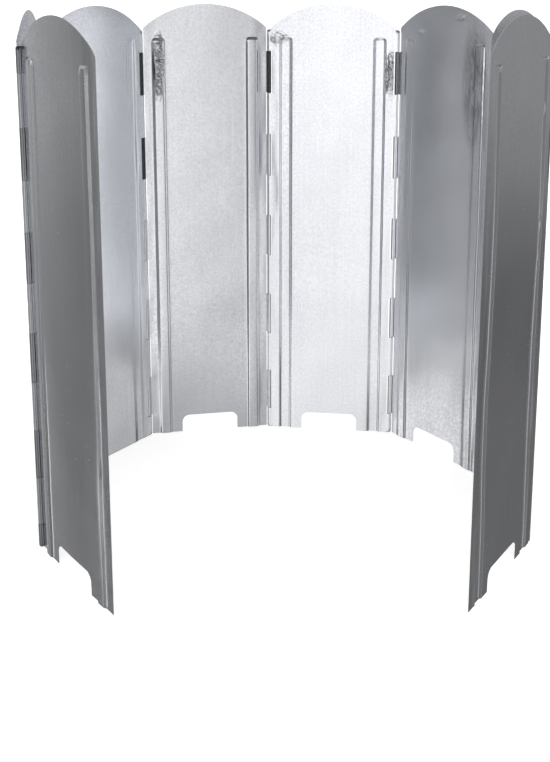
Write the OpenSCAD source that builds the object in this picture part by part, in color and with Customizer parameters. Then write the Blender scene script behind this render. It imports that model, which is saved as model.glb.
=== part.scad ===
// Folding stove windscreen: arched sheet-metal panels in a row, joined by rolled hinges on steel wires

/* [Panels] */
// Distance between the two hinge lines of a panel
panel_pitch = 85; // [78:1:110]
// Height of the straight sides, from the ground to the shoulders
shoulder_height = 280; // [200:5:360]
// Rise of the arched top above the shoulders
arch_rise = 17; // [8:1:30]
// Thickness of the sheet metal
sheet = 0.3; // [0.2:0.05:0.6]

/* [Hinges] */
// Diameter of the hinge wires
wire_d = 2.2; // [1.6:0.1:3]
// Radial play between a wire and the rolled knuckles
wire_play = 0.05; // [0.02:0.01:0.1]
// Knuckle lengths in the height of a hinge, with the two half ones counted as one
knuckle_count = 10; // [6:2:14]
// Gap between the ends of neighbouring knuckles
knuckle_gap = 0.6; // [0.4:0.1:1.2]
// Gap between a knuckle and the cut-back edge of the other panel
edge_gap = 0.75; // [0.6:0.05:2]
// How far the back of the sheet lies inside the outer face of its knuckles
curl_lap = 0.1; // [0.06:0.02:0.2]
// Length of the pinched knuckle ends that keep a wire in its hinge
pinch_length = 0.8; // [0.5:0.1:1.5]
// Diameter of the hole left in a pinched end
pinch_hole_d = 1; // [0.6:0.1:1.2]
// Play between each end of a wire and the pinched knuckle end
wire_end_play = 0.2; // [0.1:0.05:0.5]
// Bevel at the ends of a wire
wire_bevel = 0.2; // [0.1:0.05:0.4]

/* [Ribs] */
// Middle of a rib, in from the hinge line or the free edge
rib_inset = 11.4; // [10.4:0.2:14]
// Width of a rib at its foot
rib_foot = 8.4; // [7:0.2:10]
// Height of a rib above the sheet
rib_height = 1; // [0.6:0.1:1.6]
// Width of the sloping flank on each side of a rib
rib_flank = 1.4; // [1:0.1:2]
// Distance from the shoulder line down to the upper end of a rib
rib_drop = 5; // [4:0.5:12]
// How far the corners at the upper end of a rib are cut off
rib_corner_cut = 1.4; // [1:0.1:2]

/* [Air vents] */
// Width of a vent in the bottom edge
vent_width = 39; // [24:1:44]
// Height of a vent
vent_height = 12; // [8:0.5:20]
// Radius of a vent's upper corners
vent_corner = 5; // [2:0.5:7]

/* [Standing position] */
// Direction of the left end panel in plan, from its free edge to its hinge
first_heading = 125; // [100:1:150]
// Turn at hinge 1, from one panel to the next
turn_1 = 32; // [0:1:60]
// Turn at hinge 2
turn_2 = 39; // [0:1:60]
// Turn at hinge 3
turn_3 = 44; // [0:1:60]
// Turn at hinge 4
turn_4 = 18; // [0:1:60]
// Turn at hinge 5
turn_5 = 47; // [0:1:60]
// Turn at hinge 6
turn_6 = 26; // [0:1:60]
// Turn at hinge 7
turn_7 = 43; // [0:1:60]

/* [Hidden] */
$fn = 64;
turns = [turn_1, turn_2, turn_3, turn_4, turn_5, turn_6, turn_7];
panel_count = len(turns) + 1;
// The panel whose bottom edge has no vent
plain_panel = 3;
bore_r = wire_d / 2 + wire_play;
knuckle_r = bore_r + sheet;
knuckle_length = shoulder_height / knuckle_count;
cut_back = knuckle_r + edge_gap;
sheet_back = curl_lap - knuckle_r;
sheet_front = sheet_back + sheet;
arch_r = pow(panel_pitch / 2, 2) / (2 * arch_rise) + arch_rise / 2;
rib_top = shoulder_height - rib_drop;
// Run of a rib's flank for each unit of its height
rib_run = rib_flank / rib_height;
// How far a rib's hollow lies inside the foot of its outside, for an even wall on the sloping flanks
hollow_inset = sheet * tan(atan(1 / rib_run) / 2);
// Overshoot of a cutting shape beyond the face that it cuts
over = 1;

// Direction in plan of panel i, counted from 1 at the left end
function heading(i) = i == 1 ? first_heading : heading(i - 1) - turns[i - 2];

// Chain point i in plan: 0 is the left free edge, the hinges follow, and the last one is the right free edge
function chain(i) = i == 0
    ? [0, 0]
    : chain(i - 1) + panel_pitch * [cos(heading(i)), sin(heading(i))];

chain_x = [for (i = [0 : panel_count]) chain(i)[0]];
chain_y = [for (i = [0 : panel_count]) chain(i)[1]];
plan_centre = [min(chain_x) + max(chain_x), min(chain_y) + max(chain_y)] / 2;
function hinge(i) = chain(i) - plan_centre;

// Lower and upper end of knuckle k of a hinge, counted from 0 at the ground
function knuckle_low(k) = max(0, (k - 0.5) * knuckle_length);
function knuckle_high(k) = min(shoulder_height, (k + 0.5) * knuckle_length);
// Half of the gap between knuckles, but none at the two ends of the hinge
function gap_below(k) = k == 0 ? 0 : knuckle_gap / 2;
function gap_above(k) = k == knuckle_count ? 0 : knuckle_gap / 2;

// Odd panels curl outwards and have the even knuckles, even panels curl inwards and have the odd ones
function curls_out(i) = i % 2 == 1;
function own_knuckles(i) = [for (k = [curls_out(i) ? 0 : 1 : 2 : knuckle_count]) k];
function other_knuckles(i) = [for (k = [curls_out(i) ? 1 : 0 : 2 : knuckle_count]) k];
// Places across panel i of its hinge lines
function hinge_lines(i) = [if (i > 1) 0, if (i < panel_count) panel_pitch];

// Panel i in plan, with the side that its edges curl to along +Y before it is placed
module stand_panel(i) {
    translate(hinge(i - 1)) rotate(heading(i)) mirror([0, curls_out(i) ? 0 : 1, 0]) children();
}

// Flat shape with a straight body and an arched top
module arched_outline() {
    square([panel_pitch, shoulder_height]);
    intersection() {
        translate([panel_pitch / 2, shoulder_height + arch_rise - arch_r]) circle(arch_r, $fn = 180);
        translate([0, shoulder_height - over]) square([panel_pitch, arch_rise + 2 * over]);
    }
}

// Vent opening in the middle of the bottom edge
module vent_outline() {
    corner_x = vent_width / 2 - vent_corner;
    corner_z = vent_height - vent_corner;
    translate([panel_pitch / 2, 0]) {
        translate([-vent_width / 2, -over]) square([vent_width, corner_z + over]);
        translate([-corner_x, -over]) square([2 * corner_x, vent_height + over]);
        for (side = [-1, 1]) translate([side * corner_x, corner_z]) circle(vent_corner);
    }
}

// Cut-backs beside the knuckles of the next panel, along one hinge line
module edge_cuts(i, line) {
    for (k = other_knuckles(i)) {
        low = k == 0 ? -over : knuckle_low(k) - gap_below(k);
        high = k == knuckle_count ? shoulder_height + arch_rise : knuckle_high(k) + gap_above(k);
        translate([line - cut_back, low]) square([2 * cut_back, high - low]);
    }
}

// The sheet of panel i before its ribs are pressed in
module blank(i) {
    translate([0, sheet_front, 0]) rotate([90, 0, 0]) linear_extrude(sheet) difference() {
        arched_outline();
        if (i != plain_panel) vent_outline();
        for (line = hinge_lines(i)) edge_cuts(i, line);
    }
}

// Long ridge across the ground line, with a rib's flanks from the level base_y up to top_y
module ridge(half, base_y, top_y) {
    inset = (top_y - base_y) * rib_run;
    linear_extrude(2 * shoulder_height, center = true) polygon([
        [-half, base_y], [half, base_y], [half - inset, top_y], [inset - half, top_y]
    ]);
}

// Solid of one rib, with its flanks, upper end and corners each moved out by grow
module channel(grow, base_y, top_y, bottom_z) {
    corner = (rib_foot / 2 + rib_top - rib_corner_cut) / sqrt(2) + grow;
    intersection() {
        translate([0, 0, shoulder_height + bottom_z]) ridge(rib_foot / 2 + grow, base_y, top_y);
        rotate([0, 90, 0]) ridge(rib_top + grow, base_y, top_y);
        rotate([0, 45, 0]) ridge(corner, base_y, top_y);
        rotate([0, -45, 0]) ridge(corner, base_y, top_y);
    }
}

// Raised side of both ribs, rooted in the middle of the sheet
module rib_backs() {
    root = sheet / 2;
    for (x = [rib_inset, panel_pitch - rib_inset]) translate([x, 0, 0])
        channel(root * rib_run, sheet_front - root, sheet_front + rib_height, 0);
}

// Hollow side of both ribs
module rib_hollows() {
    for (x = [rib_inset, panel_pitch - rib_inset]) translate([x, 0, 0])
        channel(over * rib_run - hollow_inset, sheet_back - over, sheet_back + rib_height, -over);
}

// Rolled knuckles of panel i along one hinge line, still without their bore
module knuckles(i, line) {
    for (k = own_knuckles(i)) {
        low = knuckle_low(k) + gap_below(k);
        high = knuckle_high(k) - gap_above(k);
        translate([line, 0, low]) cylinder(h = high - low, r = knuckle_r);
    }
}

// Bore of a hinge, closed to a small hole where the end knuckles are pinched
module wire_bore(line) {
    translate([line, 0, pinch_length]) cylinder(h = shoulder_height - 2 * pinch_length, r = bore_r);
    translate([line, 0, -over]) cylinder(h = shoulder_height + 2 * over, r = pinch_hole_d / 2);
}

// One pressed and rolled panel in its place
module panel(i) {
    color("gainsboro") stand_panel(i) difference() {
        union() {
            blank(i);
            rib_backs();
            for (line = hinge_lines(i)) knuckles(i, line);
        }
        rib_hollows();
        for (line = hinge_lines(i)) wire_bore(line);
    }
}

// Steel wire of hinge i, held between the pinched knuckle ends
module hinge_pin(i) {
    low = pinch_length + wire_end_play;
    length = shoulder_height - 2 * low;
    wire_r = wire_d / 2;
    color("slategray") translate(hinge(i)) translate([0, 0, low]) {
        cylinder(h = wire_bevel, r1 = wire_r - wire_bevel, r2 = wire_r);
        translate([0, 0, wire_bevel]) cylinder(h = length - 2 * wire_bevel, r = wire_r);
        translate([0, 0, length - wire_bevel])
            cylinder(h = wire_bevel, r1 = wire_r, r2 = wire_r - wire_bevel);
    }
}

module left_end_panel() { panel(1); }
module panel_2() { panel(2); }
module panel_3() { panel(3); }
module panel_4() { panel(4); }
module panel_5() { panel(5); }
module panel_6() { panel(6); }
module panel_7() { panel(7); }
module right_end_panel() { panel(panel_count); }
module hinge_pin_1() { hinge_pin(1); }
module hinge_pin_2() { hinge_pin(2); }
module hinge_pin_3() { hinge_pin(3); }
module hinge_pin_4() { hinge_pin(4); }
module hinge_pin_5() { hinge_pin(5); }
module hinge_pin_6() { hinge_pin(6); }
module hinge_pin_7() { hinge_pin(7); }

left_end_panel();
panel_2();
panel_3();
panel_4();
panel_5();
panel_6();
panel_7();
right_end_panel();
hinge_pin_1();
hinge_pin_2();
hinge_pin_3();
hinge_pin_4();
hinge_pin_5();
hinge_pin_6();
hinge_pin_7();
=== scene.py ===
"""Dresses the folding stove windscreen: pressed and rolled aluminium panels on their hinge wires."""
import math

import bpy
import numpy as np
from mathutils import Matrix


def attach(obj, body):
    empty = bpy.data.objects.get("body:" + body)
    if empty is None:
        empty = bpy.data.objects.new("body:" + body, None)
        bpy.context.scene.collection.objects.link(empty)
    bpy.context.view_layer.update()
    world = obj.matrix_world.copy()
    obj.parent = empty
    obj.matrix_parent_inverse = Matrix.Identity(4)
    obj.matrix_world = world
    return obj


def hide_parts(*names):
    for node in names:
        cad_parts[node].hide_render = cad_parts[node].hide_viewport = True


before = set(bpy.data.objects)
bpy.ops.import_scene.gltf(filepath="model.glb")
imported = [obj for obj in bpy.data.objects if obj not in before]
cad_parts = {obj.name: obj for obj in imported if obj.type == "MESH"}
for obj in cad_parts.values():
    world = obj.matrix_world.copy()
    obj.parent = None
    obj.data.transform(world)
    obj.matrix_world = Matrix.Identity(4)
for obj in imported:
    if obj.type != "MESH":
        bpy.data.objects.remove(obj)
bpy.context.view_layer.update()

# The screen's pieces and its plan: the first panel's heading and the turn at each hinge, in degrees
PANELS = ("left_end_panel", "panel_2", "panel_3", "panel_4", "panel_5", "panel_6", "panel_7",
          "right_end_panel")
PLAIN_PANEL = "panel_3"
FIRST_HEADING = 125.0
TURNS = (32, 39, 44, 18, 47, 26, 43)
PINS = tuple("hinge_pin_%d" % (k + 1) for k in range(len(TURNS)))
# Sides of a panel, and zones of its sheet from the foot to the arched top
LEFT, RIGHT = range(2)
LOW, VENT, BODY, ARCH = range(4)

# Sizes of the sheets in millimetres, the same as in the solids
PITCH = 85.0
SHOULDER = 280.0
ARCH_RISE = 17.0
ARCH_RADIUS = (PITCH / 2) ** 2 / (2 * ARCH_RISE) + ARCH_RISE / 2
SHEET = 0.3
# The sheet's middle lies this far from the hinge axis, on the side away from its curl
SHEET_LEVEL = -1.2
RIB_INSET = 11.4
RIB_FOOT = 8.4
RIB_HEIGHT = 1.0
RIB_FLANK = 1.4
RIB_TOP = 275.0
RIB_CORNER = 2.4
VENT_WIDTH = 39.0
VENT_HEIGHT = 12.0
VENT_CORNER = 5.0
VENT_LEFT = (PITCH - VENT_WIDTH) / 2
VENT_SIDE = VENT_HEIGHT - VENT_CORNER
KNUCKLES = 10
KNUCKLE = SHOULDER / KNUCKLES

# Middle of the sheet in a rolled knuckle, and in its pinched end
ROLL = 1.3
PINCHED_ROLL = 0.7
PINCH_LENGTH = 0.8
# The roll stops short of a full turn, so a fine seam stays open along the sheet
ROLL_TURN = math.radians(305)
ROLL_STEPS = 20
# Rolled sheets stand closer together than the solids, which leave room for stiff parts to turn
HALF_GAP = 0.14
CUT_BACK = 1.95
# Two edges are cut otherwise beside their neighbour's knuckles: panel number and side
OTHER_CUTS = {(3, RIGHT): 3.0, (4, RIGHT): 1.7}
# Half the width over which the flanks of each panel's two ribs round into the sheet and into the crest
RIB_ROUNDS = ((0.03, 0.03), (0.4, 0.4), (1.1, 1.1), (0.45, 0.45), (0.45, 0.45), (0.85, 0.7), (0.4, 0.4),
              (0.03, 0.03))
# Share of its full height to which each panel's ribs came up in the press
RIB_SHARES = (1.0, 1.0, 0.5, 1.0, 1.0, 1.0, 1.0, 1.0)

# How far each panel bows out of flat at mid-width, towards the side of its curl
BOWS = (1.2, 0.3, -0.3, 0.3, 0.2, -0.4, 0.2, 0.3)
# Soft waves of the thin sheet, length and height, and how many of each length cross it at drawn angles
SOFT_WAVES = ((170.0, 0.16), (80.0, 0.06), (40.0, 0.025))
WAVES_OF_A_LENGTH = 3
# A panel's waves are drawn from this seed plus its number
WAVE_SEED = 40
# The bow and the waves die out over this width beside the edges
FLAT_EDGE = 9.0
# The strip between edge and rib bulges in turn with the knuckles, steeply, and flattens near the shoulder
STRIP_BULGE = 0.06
BULGE_STEEPNESS = 0.6
BULGE_END = 8.0

# Each point of a sheet keeps its place on the flat sheet, so that the metal's lines run along it. It also
# keeps how much painted shade darkens its knuckle, how far the press puckered the sheet there and how much
# painted dark reflection darkens it.
SHEET_PLACE = "sheet_place"
KNUCKLE_SHADE = "knuckle_shade"
PUCKER = "pucker"
REFLECTION_SHADE = "reflection_shade"
# Painted shade of each panel's knuckles, high up and low down, and the height where it changes at its two
# edges
KNUCKLE_SHADE_LEVELS = ((0.8, 0.74, 215, 215), (0.65, 0.58, 215, 215), (0.6, 0.5, 215, 215),
                   (0.97, 0.0, 168, 215), (0.1, 0.1, 215, 215), (0.8, 0.05, 215, 215),
                   (0.6, 0.5, 215, 215), (0.85, 0.8, 215, 215))
SHADE_CHANGE = 12.0
# Painted shade darkens a roll from this level on, fully after a short rise, and only within reach of the
# hinge
SHADE_LEVEL = -1.15
SHADE_RISE = 0.5
SHADE_REACH = 1.6
# Places where the sheet was worked hard: panel number, middle across and up, half width and half height,
# how puckered, and how much painted dark reflection darkens them
WORKED_PLACES = ((4, 11.6, 257.0, 4.4, 25.0, 1.0, 0.35), (5, 7.0, 274.5, 7.5, 4.5, 0.4, 0.2),
                 (5, 81.2, 252.0, 4.8, 17.5, 0.9, 0.6), (6, 22.0, 279.0, 4.0, 1.8, 1.0, 0.0),
                 (6, 55.0, 290.0, 5.0, 2.0, 1.0, 0.0), (6, 70.0, 250.0, 13.0, 48.0, 0.12, 0.5))
# How steeply a worked place fades out towards its rim
WORKED_FADE = 1.6

# Columns of the mesh, counted in from an edge: beside a hinge, each side of a rib's middle, past the rib
HINGE_COLUMNS = (0.0, 0.4, 0.9, 1.4, 3.0, 4.3, 5.2)
CREST_COLUMN = 0.6
COLUMNS_PAST_RIB = (18.4, 20.4)
COLUMN_STEP = 5.0
# Steps round a vent's corner and on each round of a rib's flank
CORNER_STEPS = 7
ROUND_STEPS = 6
# Rows of the mesh: heights beside a vent, then shares of the way up to where they run straight over it
LOW_ROWS = (0.0, 0.4, 0.8, 2.6, 4.8)
VENT_ROWS = (0.0, 0.2, 0.46)
VENT_CLEAR = 16.0
ROW_STEP = 5.5
# Rows near the ribs' upper ends: how far apart below them, how far down from the top, and one just above
RIB_END_STEP = 2.4
RIB_END_ROWS = (4.2, 3.5)
ROW_ABOVE_RIB = 277.0
# Shares of the way from the shoulder to the arched edge
ARCH_ROWS = (0.12, 0.3, 0.5, 0.7, 0.87, 1.0)
# Decimals to which two points are taken for one
SAME_PLACE = 6
# Part of a step that counts as none
ROUNDING = 1e-6
# Edges that turn more than this stay crisp
CRISP_EDGE = math.radians(45)


def mm(size):
    """Millimetres as metres."""
    return size * 0.001


def linear(colour):
    """Linear RGBA of an sRGB hex value."""
    parts = [int(colour[k:k + 2], 16) / 255 for k in (1, 3, 5)]
    return [c / 12.92 if c <= 0.04045 else ((c + 0.055) / 1.055) ** 2.4 for c in parts] + [1.0]


def add(tree, kind, inputs=None, **settings):
    """A node with its settings, each input given a value or the socket that feeds it."""
    made = tree.nodes.new(kind)
    for name, value in settings.items():
        setattr(made, name, value)
    for name, value in (inputs or {}).items():
        if isinstance(value, bpy.types.NodeSocket):
            tree.links.new(value, made.inputs[name])
        else:
            made.inputs[name].default_value = value
    return made


def node_tree(owner):
    """An empty node tree of a material or a world."""
    owner.use_nodes = True
    owner.node_tree.nodes.clear()
    return owner.node_tree


# Materials

# A Mix node has sockets for each kind of data: these are the places of the share and of the colours
SHARE, FIRST, SECOND = 0, 6, 7
MIXED = 2
# Sizes of the sheet's patterns in millimetres: mottling, handled patches, puckers and marks along it. Real
# rolling lines are hundredths of a millimetre wide: these are drawn coarser so that they show.
MOTTLE = 1.4
HANDLED_PATCH = 34.0
CRINKLE = 2.8
ROLLING_LINE = (0.8, 0.8, 90.0)
# Size of the marks that break the painted dark reflections into patches
SHADE_BREAKUP = (3.0, 3.0, 14.0)
# Depths over a pattern's whole span, of which it mostly shows a quarter: puckers are some tenths deep
MOTTLE_DEPTH = 0.014
PUCKER_DEPTH = 2.1
# Parts that the weaker patterns have in the relief, the unevenness and the grain of the sheet
LINES_IN_RELIEF = 0.05
PATCHES_IN_UNEVENNESS = 0.5
LINES_IN_GRAIN = 0.5
# Lines along the hinge wire
DRAWING_LINE = (0.25, 0.25, 20.0)
DRAWING_DEPTH = 0.01


def pattern_scale(sizes):
    """Scale of a pattern whose marks have these sizes in millimetres."""
    return [1 / mm(size) for size in sizes]


def mill_finish_aluminium():
    """Cold-rolled aluminium sheet as it leaves the mill. The rolls leave it satin: bright, with soft
    reflections, faint lines along the panel and a fine mottling where the thin sheet was handled."""
    material = bpy.data.materials.new("mill_finish_aluminium")
    tree = node_tree(material)
    place = add(tree, "ShaderNodeAttribute", attribute_name=SHEET_PLACE).outputs["Vector"]
    mottling = add(tree, "ShaderNodeTexNoise",
                   {"Vector": place, "Scale": 1 / mm(MOTTLE), "Detail": 2.0, "Roughness": 0.55})
    handling = add(tree, "ShaderNodeTexNoise",
                   {"Vector": place, "Scale": 1 / mm(HANDLED_PATCH), "Detail": 3.0, "Roughness": 0.55})
    along = add(tree, "ShaderNodeMapping", {"Vector": place, "Scale": pattern_scale(ROLLING_LINE)})
    rolling = add(tree, "ShaderNodeTexNoise",
                  {"Vector": along.outputs["Vector"], "Scale": 1.0, "Detail": 2.0, "Roughness": 0.6})
    relief = add(tree, "ShaderNodeMath",
                 {0: rolling.outputs["Fac"], 1: LINES_IN_RELIEF, 2: mottling.outputs["Fac"]},
                 operation="MULTIPLY_ADD")
    # The thin sheet puckers where the press worked it hard
    crinkles = add(tree, "ShaderNodeTexNoise",
                   {"Vector": place, "Scale": 1 / mm(CRINKLE), "Detail": 1.0, "Roughness": 0.4})
    pucker = add(tree, "ShaderNodeAttribute", attribute_name=PUCKER).outputs["Fac"]
    depth = add(tree, "ShaderNodeMath", {0: pucker, 1: PUCKER_DEPTH / MOTTLE_DEPTH}, operation="MULTIPLY")
    surface = add(tree, "ShaderNodeMath",
                  {0: crinkles.outputs["Fac"], 1: depth.outputs["Value"], 2: relief.outputs["Value"]},
                  operation="MULTIPLY_ADD")
    bump = add(tree, "ShaderNodeBump",
               {"Strength": 1.0, "Distance": mm(MOTTLE_DEPTH), "Height": surface.outputs["Value"]})
    # Mottled and handled places are a little rougher, and with the rolling lines a little greyer
    uneven = add(tree, "ShaderNodeMath",
                 {0: handling.outputs["Fac"], 1: PATCHES_IN_UNEVENNESS, 2: mottling.outputs["Fac"]},
                 operation="MULTIPLY_ADD")
    roughness = add(tree, "ShaderNodeMapRange",
                    {"Value": uneven.outputs["Value"], "From Min": 0.45, "From Max": 1.05,
                     "To Min": 0.17, "To Max": 0.28})
    grain = add(tree, "ShaderNodeMath",
                {0: rolling.outputs["Fac"], 1: LINES_IN_GRAIN, 2: uneven.outputs["Value"]},
                operation="MULTIPLY_ADD")
    blotches = add(tree, "ShaderNodeMapRange",
                   {"Value": grain.outputs["Value"], "From Min": 0.7, "From Max": 1.3})
    tone = add(tree, "ShaderNodeMix",
               {SHARE: blotches.outputs["Result"], FIRST: linear("#F7F8FA"), SECOND: linear("#E8EAED")},
               data_type="RGBA")
    # Painted shade darkens the turned part of the rolled knuckles, and painted dark reflections darken the
    # places where the sheet was worked, in patches
    knuckle_shade = add(tree, "ShaderNodeAttribute", attribute_name=KNUCKLE_SHADE).outputs["Fac"]
    reflection_shade = add(tree, "ShaderNodeAttribute", attribute_name=REFLECTION_SHADE).outputs["Fac"]
    # Painted dark reflections in the worked places are broken into patches by this noise
    upright = add(tree, "ShaderNodeMapping", {"Vector": place, "Scale": pattern_scale(SHADE_BREAKUP)})
    shade_breakup = add(tree, "ShaderNodeTexNoise",
                {"Vector": upright.outputs["Vector"], "Scale": 1.0, "Detail": 2.0, "Roughness": 0.6})
    patchy_shade = add(tree, "ShaderNodeMapRange",
                 {"Value": shade_breakup.outputs["Fac"], "From Min": 0.3, "From Max": 0.7,
                  "To Min": 0.25, "To Max": 1.1})
    reflection_shade_patches = add(tree, "ShaderNodeMath", {0: reflection_shade, 1: patchy_shade.outputs["Result"]}, operation="MULTIPLY")
    painted_shade = add(tree, "ShaderNodeMath", {0: knuckle_shade, 1: reflection_shade_patches.outputs["Value"]}, operation="MAXIMUM")
    # Painted shade in the knuckles and painted dark reflections in the worked places mix the colour towards
    # dark grey
    colour = add(tree, "ShaderNodeMix",
                 {SHARE: painted_shade.outputs["Value"], FIRST: tone.outputs[MIXED], SECOND: linear("#45474B")},
                 data_type="RGBA")
    shader = add(tree, "ShaderNodeBsdfPrincipled",
                 {"Base Color": colour.outputs[MIXED], "Metallic": 1.0,
                  "Roughness": roughness.outputs["Result"], "Normal": bump.outputs["Normal"]})
    add(tree, "ShaderNodeOutputMaterial", {"Surface": shader.outputs["BSDF"]})
    return material


def drawn_steel_wire():
    """Bright steel wire, pulled through a die: grey, with fine lines along its length."""
    material = bpy.data.materials.new("drawn_steel_wire")
    tree = node_tree(material)
    place = add(tree, "ShaderNodeTexCoord").outputs["Object"]
    along = add(tree, "ShaderNodeMapping", {"Vector": place, "Scale": pattern_scale(DRAWING_LINE)})
    drawing = add(tree, "ShaderNodeTexNoise",
                  {"Vector": along.outputs["Vector"], "Scale": 1.0, "Detail": 2.0})
    roughness = add(tree, "ShaderNodeMapRange",
                    {"Value": drawing.outputs["Fac"], "From Min": 0.3, "From Max": 0.7,
                     "To Min": 0.25, "To Max": 0.42})
    bump = add(tree, "ShaderNodeBump",
               {"Strength": 0.6, "Distance": mm(DRAWING_DEPTH), "Height": drawing.outputs["Fac"]})
    shader = add(tree, "ShaderNodeBsdfPrincipled",
                 {"Base Color": linear("#9FA1A4"), "Metallic": 1.0,
                  "Roughness": roughness.outputs["Result"], "Normal": bump.outputs["Normal"]})
    add(tree, "ShaderNodeOutputMaterial", {"Surface": shader.outputs["BSDF"]})
    return material


def white_paper():
    """Matt white photographer's paper for the floor: even and pale, with soft shadows."""
    material = bpy.data.materials.new("white_paper")
    tree = node_tree(material)
    lit = add(tree, "ShaderNodeBsdfDiffuse", {"Color": linear("#F4F4F2"), "Roughness": 0.5})
    # Light that comes through the thin paper from below takes the edge off the shadows
    through = add(tree, "ShaderNodeEmission", {"Color": linear("#FFFFFF"), "Strength": 0.56})
    paper = add(tree, "ShaderNodeAddShader", {0: lit.outputs["BSDF"], 1: through.outputs["Emission"]})
    add(tree, "ShaderNodeOutputMaterial", {"Surface": paper.outputs["Shader"]})
    return material


# Shape of a pressed sheet, in its own millimetres: x across, z up, y to the side that its edges curl to


def ease(t):
    """Smooth step from 0 to 1."""
    t = np.clip(t, 0.0, 1.0)
    return t * t * (3 - 2 * t)


def hinged(number, side):
    """Whether a panel has a hinge on that side: only the end panels have a free edge."""
    return number > 1 if side == LEFT else number < len(PANELS)


def edge_cut(number, side):
    """How far a panel's edge is cut back from the hinge beside its neighbour's knuckles."""
    return OTHER_CUTS.get((number, side), CUT_BACK)


def arch(x):
    """Height of the arched top edge."""
    return SHOULDER + ARCH_RISE - ARCH_RADIUS + np.sqrt(ARCH_RADIUS ** 2 - (x - PITCH / 2) ** 2)


def vent_edge(x, vented):
    """Lower end of the sheet's vent rows: the round-cornered outline of a vent, and level beside it."""
    inside = np.minimum(x - VENT_LEFT, PITCH - VENT_LEFT - x)
    across = VENT_CORNER - np.clip(inside, 0.0, VENT_CORNER)
    round_edge = VENT_SIDE + np.sqrt(VENT_CORNER ** 2 - across ** 2)
    return np.where((inside > 0) & vented, round_edge, VENT_SIDE)


def rounded_rise(d, soft):
    """Zero, then an even rise, with a round between them."""
    blend = (d + soft) ** 2 / (4 * soft)
    return np.where(d <= -soft, 0.0, np.where(d >= soft, d, blend))


def pressed_depth(number, x, z):
    """Height of the two ribs, whose flanks round softly into the sheet."""
    total = np.zeros_like(x)
    for middle, soft in zip((RIB_INSET, PITCH - RIB_INSET), RIB_ROUNDS[number - 1]):
        # Distance inside the rib's foot, which has rounded corners at its upper end
        side = np.abs(x - middle) - (RIB_FOOT / 2 - RIB_CORNER)
        end = z - (RIB_TOP - RIB_CORNER)
        outside = np.hypot(np.maximum(side, 0), np.maximum(end, 0))
        inside = RIB_CORNER - outside - np.minimum(np.maximum(side, end), 0)
        total += rounded_rise(inside, soft) - rounded_rise(inside - RIB_FLANK, soft)
    return total * RIB_SHARES[number - 1] * RIB_HEIGHT / RIB_FLANK


def unevenness(number, x, z):
    """How far a thin sheet strays from flat: long soft waves, and strips beside the hinges that bulge in
    turn with the knuckles."""
    draw = np.random.default_rng(WAVE_SEED + number)
    waves = np.zeros_like(x)
    for length, height in SOFT_WAVES:
        for _ in range(WAVES_OF_A_LENGTH):
            turn = draw.uniform(0, math.pi)
            start = draw.uniform(0, 2 * math.pi)
            phase = 2 * math.pi * (x * math.cos(turn) + z * math.sin(turn)) / length + start
            waves += height * np.sin(phase)
    edge = np.minimum(x, PITCH - x)
    waves += BOWS[number - 1] * 4 * (x / PITCH) * (1 - x / PITCH)
    waves *= ease((edge - CUT_BACK) / FLAT_EDGE)
    strip = np.sin(math.pi * np.clip((edge - CUT_BACK) / (RIB_INSET - RIB_FOOT / 2 - CUT_BACK), 0, 1))
    knuckle = np.cos(math.pi * z / KNUCKLE)
    bulge = STRIP_BULGE * strip * np.sign(knuckle) * np.abs(knuckle) ** BULGE_STEEPNESS
    return waves + bulge * ease((SHOULDER - z) / BULGE_END)


def paint_knuckle_shade(number, flat):
    """How much painted shade darkens each point: the turned part of a roll, and not the sheet beside it."""
    x, y, z = flat.T
    right = x > PITCH / 2
    rolled = np.where(right, hinged(number, RIGHT), hinged(number, LEFT))
    out = np.where(right, PITCH - x, x)
    high, low, left_change, right_change = KNUCKLE_SHADE_LEVELS[number - 1]
    change = np.where(right, right_change, left_change)
    level = low + (high - low) * ease((z - change) / SHADE_CHANGE + 0.5)
    return level * rolled * ease((y - SHADE_LEVEL) / SHADE_RISE) * (out < SHADE_REACH)


def worked(number, flat):
    """How far each point is puckered and how much painted dark reflection darkens it, fading out round the
    worked places.
    """
    x, _, z = flat.T
    puckered = np.zeros_like(x)
    reflection_shade = np.zeros_like(x)
    for panel, middle_x, middle_z, half_x, half_z, pucker, painted_darkening in WORKED_PLACES:
        if panel == number:
            away = np.hypot((x - middle_x) / half_x, (z - middle_z) / half_z)
            near = ease(WORKED_FADE - WORKED_FADE * away)
            puckered = np.maximum(puckered, pucker * near)
            reflection_shade = np.maximum(reflection_shade, painted_darkening * near)
    return puckered, reflection_shade


def roll_radius(z):
    """Radius of a knuckle's rolled sheet, which is pinched at the two ends of the hinge."""
    end = np.minimum(z, SHOULDER - z)
    return PINCHED_ROLL + (ROLL - PINCHED_ROLL) * ease(end / PINCH_LENGTH)


def own_knuckle(number, z):
    """Whether the height lies in a knuckle that this panel rolls. Its neighbours roll every second one."""
    k = math.floor(z / KNUCKLE + 0.5)
    low = max(0.0, (k - 0.5) * KNUCKLE + HALF_GAP)
    high = min(SHOULDER, (k + 0.5) * KNUCKLE - HALF_GAP)
    return low < z < high and k % 2 == (number + 1) % 2


def spread(low, high, step):
    """Even places from low up to high, not more than step apart, without the last one."""
    count = max(1, math.ceil((high - low) / step - ROUNDING))
    return [low + (high - low) * k / count for k in range(count)]


def flank_places(soft):
    """Places down a rib's flank, counted from its foot, most of them on its two rounds."""
    return [d - soft + 2 * soft * k / ROUND_STEPS for d in (0.0, RIB_FLANK) for k in range(ROUND_STEPS + 1)]


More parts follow.
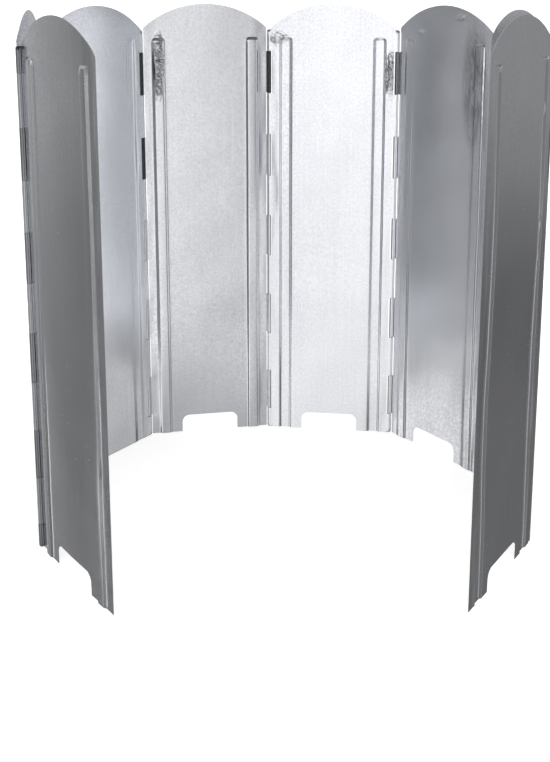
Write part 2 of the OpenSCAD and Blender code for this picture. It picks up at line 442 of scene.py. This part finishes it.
def columns(number):
    """Places across a sheet, close together on the rib flanks, the vent corners and beside the hinges."""
    foot = RIB_INSET - RIB_FOOT / 2
    corner = [1 - math.cos(math.pi / 2 * k / CORNER_STEPS) for k in range(CORNER_STEPS + 1)]
    places = [PITCH / 2]
    for side, soft in enumerate(RIB_ROUNDS[number - 1]):
        flank = sorted(flank_places(soft))
        half = sorted({*HINGE_COLUMNS, edge_cut(number, side), CUT_BACK})
        half += [foot + d for d in flank]
        half += [RIB_INSET - CREST_COLUMN, RIB_INSET + CREST_COLUMN]
        half += [foot + RIB_FOOT - d for d in flank]
        half += COLUMNS_PAST_RIB
        half += [VENT_LEFT + VENT_CORNER * share for share in corner]
        half += spread(VENT_LEFT + VENT_CORNER + COLUMN_STEP, PITCH / 2, COLUMN_STEP)
        places += [PITCH - x for x in half] if side == RIGHT else half
    return np.array(sorted(places))


def rows(number):
    """Rows up a sheet, each with its zone and its place there: a height or a share of the zone."""
    made = [(LOW, z) for z in LOW_ROWS]
    made += [(VENT, share) for share in VENT_ROWS]
    for gap in (-HALF_GAP, HALF_GAP):
        made.append((VENT, (KNUCKLE / 2 + gap - VENT_SIDE) / (VENT_CLEAR - VENT_SIDE)))
    start = VENT_CLEAR
    for k in range(1, KNUCKLES):
        end = (k + 0.5) * KNUCKLE
        made += [(BODY, z) for z in spread(start, end - HALF_GAP, ROW_STEP)]
        made.append((BODY, end - HALF_GAP))
        start = end + HALF_GAP
    flank = sorted(flank_places(max(RIB_ROUNDS[number - 1])), reverse=True)
    made += [(BODY, z) for z in spread(start, RIB_TOP - RIB_END_ROWS[0], RIB_END_STEP)]
    made += [(BODY, RIB_TOP - d) for d in (*RIB_END_ROWS, *flank)]
    made.append((BODY, ROW_ABOVE_RIB))
    made += [(BODY, SHOULDER - d) for d in (PINCH_LENGTH, PINCH_LENGTH / 2, 0.0)]
    made += [(ARCH, share) for share in ARCH_ROWS]
    return made


def sheet_points(number, vented, xs, zone, share):
    """Middle surface of a panel between its two edges, as rows of points."""
    x, share = np.meshgrid(xs, share)
    base = vent_edge(x, vented)
    over_vent = base + share * (VENT_CLEAR - base)
    under_arch = SHOULDER + share * (arch(x) - SHOULDER)
    z = np.select([(zone == VENT)[:, None], (zone == ARCH)[:, None]], [over_vent, under_arch], share)
    y = SHEET_LEVEL + pressed_depth(number, x, z) + unevenness(number, x, z)
    # Beside a hinge the sheet runs down to the level where its roll begins
    dip = -roll_radius(np.minimum(z[:, 0], SHOULDER)) - SHEET_LEVEL
    dip[zone == ARCH] = -ROLL - SHEET_LEVEL
    for column, place in enumerate(xs):
        out = min(place, PITCH - place)
        if out < CUT_BACK and hinged(number, LEFT if place < PITCH / 2 else RIGHT):
            y[:, column] = SHEET_LEVEL + dip * ease((CUT_BACK - out) / CUT_BACK)
    return np.stack([x, y, z], axis=-1)


def sheet_faces(number, vented, xs, zone, edge_z, index):
    """Four-cornered faces of the sheet, without its vent and the notches for the neighbours' knuckles."""
    left_notch = edge_cut(number, LEFT) if hinged(number, LEFT) else 0.0
    right_notch = PITCH - edge_cut(number, RIGHT) if hinged(number, RIGHT) else PITCH
    quads = []
    for r in range(len(zone) - 1):
        # Odd panels roll the lowest and the highest knuckle, so their edges run on whole into the arch
        height = (edge_z[r] + edge_z[r + 1]) / 2
        whole = number % 2 == 1 if zone[r + 1] == ARCH else own_knuckle(number, height)
        for c in range(len(xs) - 1):
            centre = (xs[c] + xs[c + 1]) / 2
            if vented and zone[r] == LOW and VENT_LEFT < centre < PITCH - VENT_LEFT:
                continue
            if whole or left_notch <= centre <= right_notch:
                quads.append((index[r, c], index[r, c + 1], index[r + 1, c + 1], index[r + 1, c]))
    return quads


def rolled_edge(number, side, edge_x, edge_z, edge_index, first):
    """Points and faces of the knuckles along one hinge. They turn on from the sheet's last column of points,
    and their own points are counted from first on."""
    outward = -1 if side == LEFT else 1
    turn = np.linspace(0, ROLL_TURN, ROLL_STEPS + 1)[1:]
    radius = roll_radius(edge_z)[:, None]
    points = np.stack([edge_x + outward * radius * np.sin(turn), -radius * np.cos(turn),
                       edge_z[:, None] + 0 * turn], axis=-1).reshape(-1, 3)
    counted = first + np.arange(len(points)).reshape(-1, ROLL_STEPS)
    ring = np.concatenate([edge_index[:, None], counted], axis=1)
    quads = []
    for r in range(len(edge_z) - 1):
        if own_knuckle(number, (edge_z[r] + edge_z[r + 1]) / 2):
            for s in range(ROLL_STEPS):
                quad = (ring[r, s], ring[r, s + 1], ring[r + 1, s + 1], ring[r + 1, s])
                quads.append(quad if side == RIGHT else quad[::-1])
    return points, quads


def pressed_sheet(number, vented):
    """Middle surface of a panel: its points and four-cornered faces, with the rolled knuckles."""
    xs = columns(number)
    zone, share = np.array(rows(number)).T
    grid = sheet_points(number, vented, xs, zone, share)
    index = np.arange(len(zone) * len(xs)).reshape(len(zone), len(xs))
    edge_z = grid[:, 0, 2]
    points = grid.reshape(-1, 3)
    quads = sheet_faces(number, vented, xs, zone, edge_z, index)
    tall = zone != ARCH
    for side, column in ((LEFT, 0), (RIGHT, -1)):
        if hinged(number, side):
            more, knuckles = rolled_edge(number, side, xs[column], edge_z[tall], index[tall, column],
                                         len(points))
            points = np.concatenate([points, more])
            quads += knuckles
    return points, np.array(quads)


def tidy_surface(points, quads):
    """Joins points that lie in one place, drops those in no face, and lets a face that closes up have three
    corners."""
    _, first, same = np.unique(np.round(points, SAME_PLACE), axis=0, return_index=True, return_inverse=True)
    same = np.asarray(same).ravel()
    faces = []
    for quad in same[quads]:
        face = [v for k, v in enumerate(quad) if v != quad[k - 1]]
        if len(face) > 2:
            faces.append(face)
    used = np.unique(np.concatenate([np.array(f) for f in faces]))
    place = np.full(len(first), -1)
    place[used] = np.arange(len(used))
    return points[first[used]], [[int(place[v]) for v in f] for f in faces]


def thickened(points, faces):
    """A closed sheet round a middle surface, with a rim along every edge of it."""
    normals = np.zeros_like(points)
    for face in faces:
        corner = points[face]
        # A face counts by its area, which the cross product of its diagonals or sides gives
        if len(face) == 4:
            normals[face] += np.cross(corner[2] - corner[0], corner[3] - corner[1])
        else:
            normals[face] += np.cross(corner[1] - corner[0], corner[2] - corner[0])
    normals /= np.linalg.norm(normals, axis=1, keepdims=True)
    count = len(points)
    solid = np.concatenate([points + normals * SHEET / 2, points - normals * SHEET / 2])
    # Cut edges of a sheet that isn't quite flat lean by microns, and stay between the ground and the top
    solid[:, 2] = np.clip(solid[:, 2], 0, SHOULDER + ARCH_RISE)
    made = [list(f) for f in faces]
    made += [[v + count for v in reversed(f)] for f in faces]
    edges = set()
    for face in faces:
        edges.update(zip(face, face[1:] + face[:1]))
    for a, b in edges:
        if (b, a) not in edges:
            made.append([b, a, a + count, b + count])
    return solid, made


def chain_points():
    """Plan of the standing screen: the left free edge, the seven hinges and the right free edge, and each
    panel's heading."""
    headings = [FIRST_HEADING - sum(TURNS[:k]) for k in range(len(PANELS))]
    points = [np.zeros(2)]
    for heading in headings:
        angle = math.radians(heading)
        points.append(points[-1] + PITCH * np.array([math.cos(angle), math.sin(angle)]))
    points = np.array(points)
    return points - (points.min(0) + points.max(0)) / 2, headings


def make_panel(number, name, start, heading, material):
    """One pressed and rolled panel, standing where its solid stands."""
    flat, faces = thickened(*tidy_surface(*pressed_sheet(number, name != PLAIN_PANEL)))
    knuckle_shade = paint_knuckle_shade(number, flat)
    pucker, reflection_shade = worked(number, flat)
    # Odd panels curl outwards and even panels inwards, which turns their faces round
    if number % 2 == 0:
        flat[:, 1] *= -1
        faces = [f[::-1] for f in faces]
    angle = math.radians(heading)
    stood = np.array([[math.cos(angle), math.sin(angle), 0],
                      [-math.sin(angle), math.cos(angle), 0],
                      [0, 0, 1]])
    points = flat @ stood + np.array([start[0], start[1], 0.0])
    mesh = bpy.data.meshes.new(name + "_sheet")
    mesh.from_pydata(mm(points), [], faces)
    place = mesh.attributes.new(SHEET_PLACE, "FLOAT_VECTOR", "POINT")
    place.data.foreach_set("vector", mm(flat).astype(np.float32).ravel())
    for label, amounts in ((KNUCKLE_SHADE, knuckle_shade), (PUCKER, pucker), (REFLECTION_SHADE, reflection_shade)):
        kept = mesh.attributes.new(label, "FLOAT", "POINT")
        kept.data.foreach_set("value", amounts.astype(np.float32))
    mesh.materials.append(material)
    mesh.shade_smooth()
    mesh.set_sharp_from_angle(angle=CRISP_EDGE)
    panel = bpy.data.objects.new(name + "_sheet", mesh)
    bpy.context.collection.objects.link(panel)
    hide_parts(name)
    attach(panel, name)


def dress_screen():
    """Puts the eight sheets in place of their solids, and gives the solid wires their steel."""
    aluminium = mill_finish_aluminium()
    steel = drawn_steel_wire()
    points, headings = chain_points()
    for k, name in enumerate(PANELS):
        make_panel(k + 1, name, points[k], headings[k], aluminium)
    for name in PINS:
        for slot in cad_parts[name].material_slots:
            slot.material = steel


# Studio

# Half the floor's width in metres, and how far it lies below the screen's foot in millimetres
FLOOR_REACH = 30.0
FLOOR_DROP = 0.1
# How bright the studio is all round, at the level of the eye, on the floor and on the floor near the screen:
# degrees to the right of the open front, and brightness. A large soft light stands in front, more to the
# left, and the sides are dark.
WALL_LIGHT = ((-180, 0.5), (-162, 0.38), (-140, 0.42), (-130, 0.53), (-122, 0.33), (-115, 0.17),
              (-105, 0.2), (-90, 0.24), (-82, 0.3), (-76, 1.25), (-69, 1.3), (-60, 0.4), (-50, 0.24),
              (-42, 0.28), (-36, 1.2), (-28, 1.6), (-20, 1.25), (-12, 1.26), (-4, 1.2), (8, 1.05),
              (14, 0.94), (18, 0.83), (22, 0.66), (28, 0.34), (36, 0.26), (50, 0.21), (62, 0.22),
              (75, 0.38), (95, 0.28), (112, 0.26), (126, 0.28), (180, 0.5))
FLOOR_LIGHT = ((-180, 0.25), (-158, 0.1), (-135, 0.43), (-124, 0.22), (-115, 0.14), (-106, 0.18),
               (-95, 0.25), (-84, 0.3), (-76, 1.75), (-70, 1.2), (-63, 0.3), (-50, 0.18), (-42, 0.25),
               (-30, 1.75), (-20, 1.1), (-14, 1.04), (-6, 1.0), (4, 1.55), (14, 0.92), (20, 0.85),
               (25, 0.6), (30, 0.36), (40, 0.2), (58, 0.12), (66, 0.5), (76, 0.4), (90, 0.5),
               (101, 0.9), (108, 0.3), (116, 0.12), (140, 0.09), (180, 0.25))
NEAR_FLOOR_LIGHT = ((-180, 0.16), (-158, 0.1), (-135, 0.46), (-124, 0.22), (-114, 0.09), (-108, 0.12),
                    (-103, 1.05), (-96, 1.3), (-86, 1.05), (-74, 0.35), (-60, 0.12), (-45, 0.16),
                    (-30, 0.9), (-14, 0.96), (-6, 0.75), (4, 0.2), (12, 0.1), (18, 0.45), (26, 0.5),
                    (40, 0.25), (54, 0.12), (64, 0.3), (99, 0.55), (108, 0.3), (118, 0.13), (140, 0.12),
                    (180, 0.16))
BRIGHTEST = 1.8
# The ceiling is dark in front, so ends of ribs that face up and forward show as dark lines
CEILING_FRONT = 0.12
CEILING_BACK = 0.45
CEILING_CHANGE = (-0.3, 0.2)
# Between these heights of the line of sight, as its sine, each light passes into the next one up
NEAR_FLOOR_TO_FLOOR = (-0.375, -0.33)
FLOOR_TO_WALL = (-0.3, -0.07)
WALL_TO_CEILING = (0.12, 0.4)
# The softbox over the floor, with its width and its tilt towards the back in degrees
SOFTBOX_STRENGTH = 2.0
SOFTBOX_WIDTH = 80.0
SOFTBOX_TILT = 18.0
# The camera's lens and film in millimetres, the share of the frame's height by which it is shifted, the
# standpoint in millimetres, how far it looks down and to the right in radians, and how far it sees in metres
LENS = 52.01
FILM = 36.0
FRAME_SHIFT = -0.231
STANDPOINT = (-9.0, -619.3, 317.0)
LOOK_DOWN = 0.2082
LOOK_RIGHT = 0.0091
FARTHEST = 100.0


def lay_floor():
    """A wide pale floor under the screen. The metal mirrors the studio and not the paper."""
    mesh = bpy.data.meshes.new("floor")
    corners = [(FLOOR_REACH * x, FLOOR_REACH * y, 0) for x, y in ((-1, -1), (1, -1), (1, 1), (-1, 1))]
    mesh.from_pydata(corners, [], [(0, 1, 2, 3)])
    mesh.materials.append(white_paper())
    floor = bpy.data.objects.new("floor", mesh)
    bpy.context.collection.objects.link(floor)
    floor.location.z = -mm(FLOOR_DROP)
    floor.visible_glossy = False


def light_studio():
    """Soft light from in front that falls off to the sides, and a white background."""
    world = bpy.data.worlds.new("studio")
    bpy.context.scene.world = world
    tree = node_tree(world)
    sight = add(tree, "ShaderNodeTexCoord").outputs["Generated"]
    toward = add(tree, "ShaderNodeSeparateXYZ", {"Vector": sight}).outputs
    to_front = add(tree, "ShaderNodeMath", {0: toward["Y"], 1: -1.0}, operation="MULTIPLY")
    round_about = add(tree, "ShaderNodeMath", {0: toward["X"], 1: to_front.outputs["Value"]},
                      operation="ARCTAN2")
    share = add(tree, "ShaderNodeMapRange",
                {"Value": round_about.outputs["Value"], "From Min": -math.pi, "From Max": math.pi})
    lights = []
    for plan in (NEAR_FLOOR_LIGHT, FLOOR_LIGHT, WALL_LIGHT):
        ramp = add(tree, "ShaderNodeValToRGB", {"Fac": share.outputs["Result"]})
        ramp.color_ramp.interpolation = "EASE"
        stops = ramp.color_ramp.elements
        # A new ramp has its first and last stop already
        for degrees, _ in plan[1:-1]:
            stops.new((degrees + 180) / 360)
        for stop, (_, brightness) in zip(stops, plan):
            stop.color = [brightness / BRIGHTEST] * 3 + [1.0]
        lights.append(ramp.outputs["Color"])
    ceiling = add(tree, "ShaderNodeMapRange",
                  {"Value": toward["Y"], "From Min": CEILING_CHANGE[0], "From Max": CEILING_CHANGE[1],
                   "To Min": CEILING_FRONT / BRIGHTEST, "To Max": CEILING_BACK / BRIGHTEST})
    lights.append(ceiling.outputs["Result"])
    around = lights[0]
    for (low, high), light in zip((NEAR_FLOOR_TO_FLOOR, FLOOR_TO_WALL, WALL_TO_CEILING), lights[1:]):
        above = add(tree, "ShaderNodeMapRange", {"Value": toward["Z"], "From Min": low, "From Max": high},
                    interpolation_type="SMOOTHSTEP")
        around = add(tree, "ShaderNodeMix", {SHARE: above.outputs["Result"], FIRST: around, SECOND: light},
                     data_type="RGBA").outputs[MIXED]
    tint = add(tree, "ShaderNodeMix", {SHARE: 1.0, FIRST: around, SECOND: linear("#F9F9FB")},
               data_type="RGBA", blend_type="MULTIPLY")
    studio = add(tree, "ShaderNodeBackground", {"Color": tint.outputs[MIXED], "Strength": BRIGHTEST})
    backdrop = add(tree, "ShaderNodeBackground", {"Color": linear("#FFFFFF"), "Strength": 1.0})
    seen = add(tree, "ShaderNodeLightPath").outputs["Is Camera Ray"]
    mixed = add(tree, "ShaderNodeMixShader",
                {0: seen, 1: studio.outputs["Background"], 2: backdrop.outputs["Background"]})
    add(tree, "ShaderNodeOutputWorld", {"Surface": mixed.outputs["Shader"]})


def hang_softbox():
    """A wide softbox overhead. It lights the paper alone: the metal mirrors only the studio round it."""
    lamp = bpy.data.lights.new("overhead_softbox", "SUN")
    lamp.energy = SOFTBOX_STRENGTH
    lamp.angle = math.radians(SOFTBOX_WIDTH)
    softbox = bpy.data.objects.new("overhead_softbox", lamp)
    bpy.context.collection.objects.link(softbox)
    softbox.rotation_euler = (math.radians(SOFTBOX_TILT), 0.0, 0.0)
    softbox.visible_glossy = False


def set_camera():
    """The photograph's standpoint, with the frame shifted down as it was there."""
    lens = bpy.data.cameras.new("camera")
    lens.lens = LENS
    lens.sensor_width = FILM
    lens.shift_y = FRAME_SHIFT
    lens.clip_end = FARTHEST
    camera = bpy.data.objects.new("camera", lens)
    bpy.context.collection.objects.link(camera)
    camera.location = [mm(place) for place in STANDPOINT]
    camera.rotation_euler = (math.pi / 2 - LOOK_DOWN, 0.0, -LOOK_RIGHT)
    bpy.context.scene.camera = camera


dress_screen()
lay_floor()
light_studio()
hang_softbox()
set_camera()
bpy.context.scene.view_settings.view_transform = "Standard"
